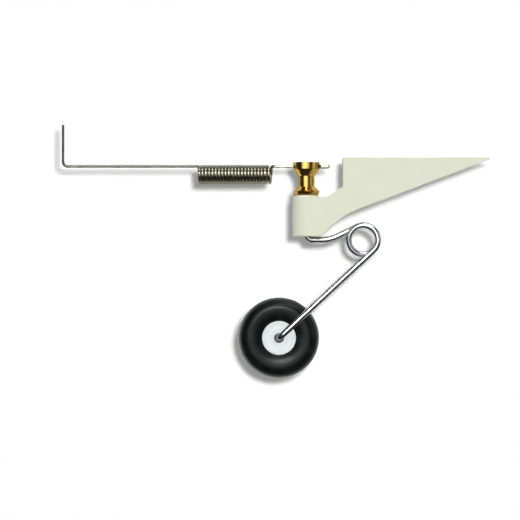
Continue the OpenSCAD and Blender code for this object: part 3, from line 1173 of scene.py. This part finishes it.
@dataclass
class Tiller(Assembly):
    """Thin sprung wire from the hub to the rudder: flattened stop, close coil and upturned rod.

    The wire swells a little in the coil, so that its turns nearly touch.
    """

    wire_d: float = 0.79 * MM
    coil_od: float = 6 * MM
    coil_wire_d: float = 1 * MM
    swell_turns: float = 0.3
    turns: int = 22
    pitch: float = 1.05 * MM
    end_gap: float = 0.4 * MM
    curl_r: float = 1.1 * MM
    bend_r: float = 1.5 * MM
    flat_w: float = 1.45 * MM
    flat_t: float = 0.4 * MM
    flat_l: float = 3.1 * MM
    shoulder_l: float = 0.7 * MM
    tip_w: float = 0.04 * MM
    tip_thinned: float = 0.35
    turn_steps: int = 36
    curl_steps: int = 12
    plain_steps: int = 8
    flat_steps: int = 24
    tip_steps: int = 12
    rod_steps: int = 12
    sides: int = 16

    def coil_r(self) -> float:
        """Radius of the coil, at the wire's centre."""
        return (self.coil_od - self.wire_d) / 2

    def line_z(self) -> float:
        """Height of the wire's straight lengths."""
        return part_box("tiller_rod")[0].z + self.wire_d / 2

    def coil(self) -> Stations:
        """Centre line of the coil, from its far end to its near end.

        Laid out flat, the wire runs along the coil's axis, curls through an arc into the
        winding's slope, holds that slope for the turns, and curls back. The last turn before the
        hub stands off by a gap that grows evenly along it. Rolled up, a distance c round the
        coil becomes the angle c / r from its top, towards the near side first.

        Returns:
            Its stations.
        """
        r = self.coil_r()
        slope = math.atan(self.pitch / (2 * math.pi * r))
        curl = math.pi / 2 - slope
        curl_angle = self.curl_r * (1 - math.cos(curl)) / r
        winding_angle = 2 * math.pi * self.turns - 2 * curl_angle
        winding_l = winding_angle / (2 * math.pi) * self.pitch
        curl_l = self.curl_r * math.sin(curl)
        length = winding_l + self.end_gap + 2 * curl_l

        a = np.linspace(0, curl, self.curl_steps)
        t = np.linspace(0, 1, self.turns * self.turn_steps)[1:-1]
        curl_x, curl_turn = self.curl_r * np.sin(a), self.curl_r * (1 - np.cos(a)) / r
        opened = self.end_gap * np.maximum(0, 1 - (1 - t) * self.turns)
        along = np.concatenate([curl_x, curl_l + winding_l * t + opened, length - curl_x[::-1]])
        full = 2 * math.pi * self.turns
        turn = np.concatenate([curl_turn, curl_angle + winding_angle * t, full - curl_turn[::-1]])
        lean = np.concatenate([a, np.full(len(t), curl), a[::-1]])

        outward = np.stack([np.zeros_like(turn), -np.sin(turn), np.cos(turn)], -1)
        around = np.stack([np.zeros_like(turn), -np.cos(turn), -np.sin(turn)], -1)
        far_end = np.array([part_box("tiller_rod")[1].x, 0, self.line_z() - r])
        centre = far_end + along[:, None] * X_AXIS + r * outward
        ahead = np.cos(lean)[:, None] * X_AXIS + np.sin(lean)[:, None] * around
        return Stations(centre, ahead, outward)

    def coil_radius(self, count: int) -> Array:
        """Radius of the coil's wire, eased from the straight wire's over a part of each end turn.

        Args:
            count: How many stations the coil has.

        Returns:
            The radius at each station.
        """
        wire_r, closed_r = self.wire_d / 2, self.coil_wire_d / 2
        place = np.linspace(0, self.turns, count)
        from_end = np.minimum(place, self.turns - place)
        return wire_r + (closed_r - wire_r) * smooth_step(from_end, 0, self.swell_turns)

    def shank(self, start: Array) -> tuple[Stations, Array, Array]:
        """Wire from the coil through the hub to the end that is beaten flat.

        The section eases from round to wide and thin over the shoulder, and the tip is round
        in side view, so its half width is the square root of w^2 - d^2 at d past its centre.

        Args:
            start: Near end of the coil.

        Returns:
            Its stations, and the half width and half thickness of the wire at each.
        """
        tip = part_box("tiller_shank")[1].x
        wire_r, half_w, half_t = self.wire_d / 2, self.flat_w / 2, self.flat_t / 2
        shoulder_x = tip - self.flat_l - self.shoulder_l / 2
        plain = np.linspace(start[0], shoulder_x, self.plain_steps)
        flat = np.linspace(shoulder_x, tip - half_w, self.flat_steps)[1:]
        a = np.linspace(0, math.pi / 2, self.tip_steps)[1:]
        past = half_w * np.sin(a)
        x = np.concatenate([plain, flat, tip - half_w + past])
        eased = smooth_step(x, shoulder_x, shoulder_x + self.shoulder_l)
        wide = wire_r + (half_w - wire_r) * eased
        thick = wire_r + (half_t - wire_r) * eased
        wide[-len(past):] = np.maximum(half_w * np.cos(a), self.tip_w / 2)
        thick[-len(past):] = half_t * (self.tip_thinned + (1 - self.tip_thinned) * np.cos(a))
        centre = np.stack([x, np.zeros_like(x), np.full_like(x, self.line_z())], -1)
        run = Jig(Y_AXIS).sided(centre, np.repeat(X_AXIS[None], len(x), axis=0))
        return run, wide, thick

    def rod(self, start: Array) -> Stations:
        """Centre line of the rod, back from the coil and up at its end.

        Args:
            start: Far end of the coil.

        Returns:
            Its stations.
        """
        jig = Jig(-Y_AXIS, straight_steps=self.rod_steps)
        low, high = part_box("tiller_rod")
        corner_x = low.x + self.wire_d / 2
        run = jig.straight(start, -X_AXIS, start[0] - corner_x - self.bend_r)
        run = run.then(jig.bend(*run.end(), Z_AXIS, self.bend_r, math.pi / 2))
        return run.then(jig.straight(*run.end(), high.z - run.end()[0][2]))

    def build(self) -> None:
        """Builds and dresses the tiller's three stretches."""
        finish = TILLER_WIRE.make()
        wire_r = self.wire_d / 2
        coil = self.coil()
        coil_radius = self.coil_radius(len(coil.centre))
        spring = sweep_wire("tiller_coil", coil, coil_radius, coil_radius, self.sides)
        shank = sweep_wire("tiller_stop_wire", *self.shank(coil.centre[-1]), self.sides)
        rod = self.rod(coil.centre[0])
        rod_radius = np.full(len(rod.centre), wire_r)
        arm = sweep_wire("tiller_long_wire", rod, rod_radius, rod_radius, self.sides)
        for piece in (spring, shank):
            self.dress(piece, finish, Slot.TILLER)
        # Darker copy of the tiller wire's finish on the rod: painted shade
        self.dress(arm, ROD_WIRE_PAINTED_SHADE.make(), Slot.TILLER)
        self.seat(shank, Body.TILLER, "tiller_shank")
        self.seat(arm, Body.TILLER_ARM, "tiller_rod")
        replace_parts(spring, "tiller_spring")
        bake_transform(spring)


@dataclass(frozen=True)
class Lamp:
    """One soft lamp: the way to it, its width and height, how bright it makes a white card, its use."""

    name: str
    way: Triple
    size: Span
    level: float
    use: Use


@dataclass
class Studio:
    """White sheet that the tailwheel hangs before, its lamps, the dark blind round it and the camera.

    The pivot's column and the mounting face's row are where the photo shows them, in its pixels.
    """

    places: Places
    photo_side: int = 520
    pixel: float = 0.32 * MM
    pivot_column: float = 306.5
    mount_row: float = 158.0
    camera_distance: float = 0.9
    sensor: float = 36.0
    clip: Span = (0.01, 100)
    sheet_y: float = 70 * MM
    sheet_half: float = 0.34
    sheet_whole_r: float = 0.13
    sheet_gone_r: float = 0.2
    sheet_white: float = 0.98
    sheet_glow: float = 0.16
    shadow_left: float = 1.85 * MM
    shadow_drop: float = 1.9 * MM
    key_size: float = 0.03
    key_level: float = 0.87
    lamp_distance: float = 1.0
    lamps: tuple[Lamp, ...] = (
        Lamp("front", (-0.35, -1, 0.12), (0.8, 0.3), 0.12, Use.GLOSS),
        Lamp("brow", (-0.06, -1, 0.46), (0.4, 0.3), 0.6, Use.GLOSS),
        Lamp("strip", (0.25, -0.38, 0.92), (0.9, 0.4), 0.36, Use.GLOSS),
        Lamp("side", (0.9, -0.35, 0.26), (0.7, 0.7), 0.09, Use.GLOSS),
        Lamp("fill_above", (0, 0.2, 1), (0.3, 0.3), 0.5, Use.MATT),
        Lamp("fill_below", (0, 0.2, -1), (0.3, 0.3), 0.45, Use.MATT),
        Lamp("fill_right", (1, 0.2, 0), (0.3, 0.3), 0.45, Use.MATT),
        Lamp("fill_left", (-1, 0.2, 0), (0.3, 0.3), 0.16, Use.MATT),
    )
    blind_r: float = 1.25
    blind_front: float = math.radians(23)
    blind_back: float = math.radians(104)
    blind_level: float = 0.03
    blind_steps: int = 64
    room_level: float = 0.14
    white_level: float = 1.0

    def middle(self) -> Array:
        """Point that the camera's axis passes through, in the plane of the pivot."""
        half = self.photo_side / 2
        right = (half - self.pivot_column) * self.pixel
        up = (self.mount_row - half) * self.pixel
        return np.array([self.places.pivot_x + right, 0, up])

    def place_camera(self) -> None:
        """Sets the camera square on, at the distance where a pixel has its real size."""
        data = bpy.data.cameras.new("camera")
        data.sensor_width = self.sensor
        data.lens = self.sensor * self.camera_distance / (self.photo_side * self.pixel)
        data.clip_start, data.clip_end = self.clip
        camera = put_in_scene("camera", data)
        camera.location = self.middle() - self.camera_distance * Y_AXIS
        camera.rotation_euler = (math.pi / 2, 0, 0)
        bpy.context.scene.camera = camera

    @staticmethod
    def stand(name: str, vertices: Array, faces: list[tuple[int, ...]]) -> Piece:
        """Stands a plain surface in the studio, apart from the tailwheel.

        Args:
            name: Name of the surface.
            vertices: Its points, in metres.
            faces: Its faces, as indices of their points.

        Returns:
            The new object.
        """
        mesh = bpy.data.meshes.new(name)
        mesh.from_pydata(vertices.tolist(), [], faces)
        surface = put_in_scene(name, mesh)
        return surface

    @staticmethod
    def seen_directly(tree: bpy.types.NodeTree) -> Socket:
        """Adds nodes that tell what the eye sees, straight, in a reflection or through glass.

        Args:
            tree: Node tree to add them to.

        Returns:
            A socket that is 1 for such light and 0 for light that falls on a matt surface.
        """
        path = tree.nodes.new("ShaderNodeLightPath").outputs
        not_straight = larger(tree, path["Is Glossy Ray"], path["Is Transmission Ray"])
        return larger(tree, path["Is Camera Ray"], not_straight)

    def hang_sheet(self) -> None:
        """Hangs the white sheet behind the tailwheel, where its shadow falls.

        It fades away past its middle and doesn't show from behind.
        """
        middle = self.middle() + self.sheet_y * Y_AXIS
        signs = np.array([[-1, -1], [1, -1], [1, 1], [-1, 1]]) * self.sheet_half
        corners = middle + signs[:, :1] * X_AXIS + signs[:, 1:] * Z_AXIS
        sheet = self.stand("sheet", corners, [(0, 1, 2, 3)])

        recipe = Recipe("sheet_white")
        from_middle = recipe.add("ShaderNodeVectorMath", Vector=recipe.place())
        from_middle.operation = "DISTANCE"
        from_middle.inputs[1].default_value = middle
        faded = recipe.between(from_middle.outputs["Value"], 0, 1, self.sheet_whole_r, self.sheet_gone_r)
        behind = recipe.add("ShaderNodeNewGeometry").outputs["Backfacing"]
        hidden = larger(recipe.tree, faded, behind)
        white = grey(self.sheet_white)
        seen = self.seen_directly(recipe.tree)
        recipe.fill(
            recipe.shader,
            Base_Color=white,
            Roughness=1.0,
            Specular_IOR_Level=0.0,
            Emission_Color=white,
            Emission_Strength=recipe.between(seen, 0, self.sheet_glow, 0, 1),
        )
        clear = recipe.add("ShaderNodeBsdfTransparent")
        mix = recipe.add("ShaderNodeMixShader", Fac=hidden)
        links = recipe.tree.links
        links.new(recipe.shader.outputs["BSDF"], mix.inputs[1])
        links.new(clear.outputs["BSDF"], mix.inputs[2])
        links.new(mix.outputs["Shader"], recipe.tree.nodes["Material Output"].inputs["Surface"])
        sheet.data.materials.append(recipe.material)

    def set_blind(self) -> None:
        """Sets a dark blind round the tailwheel, which only shows as the dark edges of bright metal.

        It is a tube round the camera's axis. A ring at angle a from the way to the camera stands
        r / tan(a) before the tailwheel.
        """
        turn = np.linspace(0, 2 * math.pi, self.blind_steps, endpoint=False)
        spokes = np.cos(turn)[:, None] * X_AXIS + np.sin(turn)[:, None] * Z_AXIS
        ends = self.blind_r / np.tan([self.blind_front, self.blind_back])
        rings = self.middle() + self.blind_r * spokes - ends[:, None, None] * Y_AXIS
        index = np.arange(len(turn))
        after = (index + 1) % len(turn)
        faces = np.stack([index, after, after + len(turn), index + len(turn)], -1).tolist()
        blind = self.stand("blind", rings.reshape(-1, 3), faces)
        for ray in ("camera", "diffuse", "shadow", "transmission", "volume_scatter"):
            setattr(blind, f"visible_{ray}", False)
        recipe = Recipe("blind_grey")
        recipe.fill(
            recipe.shader,
            Base_Color=grey(0),
            Specular_IOR_Level=0.0,
            Emission_Color=grey(1),
            Emission_Strength=self.blind_level,
        )
        blind.data.materials.append(recipe.material)

    def hang_lamp(self, lamp: Lamp, distance: float) -> None:
        """Hangs an oval lamp that faces the middle of the view.

        At a distance d its power is (pi d)^2 times its level.

        Args:
            lamp: Lamp to hang.
            distance: How far from the middle it hangs.
        """
        way = unit(np.array(lamp.way))
        data = bpy.data.lights.new(lamp.name, "AREA")
        data.shape = "ELLIPSE"
        data.size, data.size_y = lamp.size
        data.energy = lamp.level * (math.pi * distance) ** 2
        hung = put_in_scene(lamp.name, data)
        hung.location = self.middle() + distance * way
        hung.rotation_euler = Vector(-way).to_track_quat("-Z", "Y").to_euler()
        hung.visible_diffuse = lamp.use is Use.MATT
        hung.visible_glossy = lamp.use is Use.GLOSS
        LOG.info("%s: level %.2f", lamp.name, lamp.level)

    def light(self) -> None:
        """Lights the tailwheel.

        A small lamp beside the camera, which lights only what is matt, casts the shadow on the
        sheet a little left of each wire and below it. The soft lamps make the bright middle of
        each wire, the top of the tyre, the line along the coil and the right of the brass, and
        fill the sides that the camera doesn't face.
        """
        reach = (self.camera_distance + self.sheet_y) / self.sheet_y
        aside = reach * (self.shadow_left * X_AXIS + self.shadow_drop * Z_AXIS)
        to_key = aside - self.camera_distance * Y_AXIS
        key = Lamp("key", tuple(to_key), (self.key_size,) * 2, self.key_level, Use.MATT)
        self.hang_lamp(key, float(np.linalg.norm(to_key)))
        for lamp in self.lamps:
            self.hang_lamp(lamp, self.lamp_distance)

    def whiten_room(self) -> None:
        """Surrounds the tailwheel with a room that is white to the eye and lights it dimly."""
        world = bpy.data.worlds.new("room")
        world.use_nodes = True
        tree = world.node_tree
        strength = tree.nodes.new("ShaderNodeMapRange")
        strength.inputs["To Min"].default_value = self.room_level
        strength.inputs["To Max"].default_value = self.white_level
        tree.links.new(self.seen_directly(tree), strength.inputs["Value"])
        background = tree.nodes["Background"]
        background.inputs["Color"].default_value = grey(1)
        tree.links.new(strength.outputs["Result"], background.inputs["Strength"])
        bpy.context.scene.world = world

    def build(self) -> None:
        """Sets up the camera, the sheet, the blind and the light."""
        bpy.context.scene.view_settings.view_transform = "Standard"
        self.place_camera()
        self.hang_sheet()
        self.set_blind()
        self.light()
        self.whiten_room()


def clear_scene() -> None:
    """Removes whatever Blender starts with."""
    for leftover in list(bpy.data.objects):
        bpy.data.objects.remove(leftover)


def main() -> None:
    """Builds the tailwheel's sub-assemblies in order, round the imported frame."""
    logging.basicConfig(level=logging.INFO, format="%(name)s: %(message)s")
    clear_scene()
    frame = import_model()
    places = Places.read(frame)
    nodes = frame["nodes"]
    Studio(places).build()
    for assembly in (
        BracketUnit(nodes),
        SteeringHub(nodes),
        Strut(nodes, places),
        Wheel(places),
        Tiller(),
    ):
        LOG.info("%s", type(assembly).__name__)
        assembly.build()


if __name__ == "__main__":
    main()
